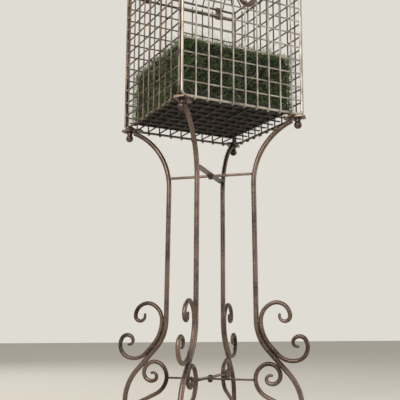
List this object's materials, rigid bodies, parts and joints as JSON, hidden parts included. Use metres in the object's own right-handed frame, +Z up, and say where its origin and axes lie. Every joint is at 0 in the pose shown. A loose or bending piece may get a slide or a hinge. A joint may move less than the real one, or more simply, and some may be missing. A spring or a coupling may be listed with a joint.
{
  "type": "birdcage planter",
  "caption": "Square wire birdcage planter with a steep hinged roof and ring pull, on a tall stand of scrolled iron legs, holding a block of moss.",
  "frame": {"origin": "on the ground under the middle of the stand", "axes": "+Z up, -Y towards the front of the cage with the ring pull, +X to its right-hand side seen from behind"},
  "size_m": [0.28, 0.2956, 1.1724],
  "materials": {
    "stand_iron": "antiqued bronze paint over hammered iron",
    "wire_iron": "rubbed bronze paint, worn pale on the high side of the wires",
    "fastener_iron": "dark bronze paint, semi-gloss",
    "rubber_caps": "matt",
    "liner": "matt",
    "soil": "matt, loose",
    "moss": "matt, fuzzy"
  },
  "bodies": {
    "base": {"back_wall": "wire_iron", "ball_nuts": "fastener_iron", "brace_bolts": "fastener_iron", "brace_nuts": "fastener_iron", "corner_bolts": "fastener_iron", "corner_gussets": "stand_iron", "corner_plates": "stand_iron", "corner_washers": "fastener_iron", "floor_mesh": "wire_iron", "foot_caps": "rubber_caps", "front_wall": "wire_iron", "inner_scroll_back_left": "stand_iron", "inner_scroll_back_right": "stand_iron", "inner_scroll_front_left": "stand_iron", "inner_scroll_front_right": "stand_iron", "left_wall": "wire_iron", "leg_back_left": "stand_iron", "leg_back_right": "stand_iron", "leg_front_left": "stand_iron", "leg_front_right": "stand_iron", "liner_tray": "liner", "lower_brace_strap_a": "stand_iron", "lower_brace_strap_b": "stand_iron", "moss_block": "moss", "outer_scroll_back_left": "stand_iron", "outer_scroll_back_right": "stand_iron", "outer_scroll_front_left": "stand_iron", "outer_scroll_front_right": "stand_iron", "right_wall": "wire_iron", "soil_block": "soil", "upper_brace_strap_a": "stand_iron", "upper_brace_strap_b": "stand_iron"},
    "lid": {"roof_frame": "stand_iron", "roof_wires_front": "wire_iron", "roof_wires_right": "wire_iron", "roof_wires_back": "wire_iron", "roof_wires_left": "wire_iron", "roof_cap": "stand_iron", "finial": "stand_iron", "top_ring": "stand_iron", "hinge_left": "stand_iron", "hinge_right": "stand_iron"},
    "pull_strap": {"pull_strap": "stand_iron"},
    "ring_pull": {"ring_pull": "stand_iron"}
  },
  "joints": [
    {"name": "roof_hinge", "type": "hinge", "parent": "base", "child": "lid", "pos_m": [0, 0.132, 0.892], "axis": [-1, 0, 0], "range_deg": [0, 100]},
    {"name": "strap_swing", "type": "hinge", "parent": "lid", "child": "pull_strap", "pos_m": [0, -0.132, 0.91], "axis": [-1, 0, 0], "range_deg": [0, 100]},
    {"name": "ring_swing", "type": "hinge", "parent": "pull_strap", "child": "ring_pull", "pos_m": [0, -0.14401, 0.8204], "axis": [-1, 0, 0], "range_deg": [-3, 100]}
  ]
}
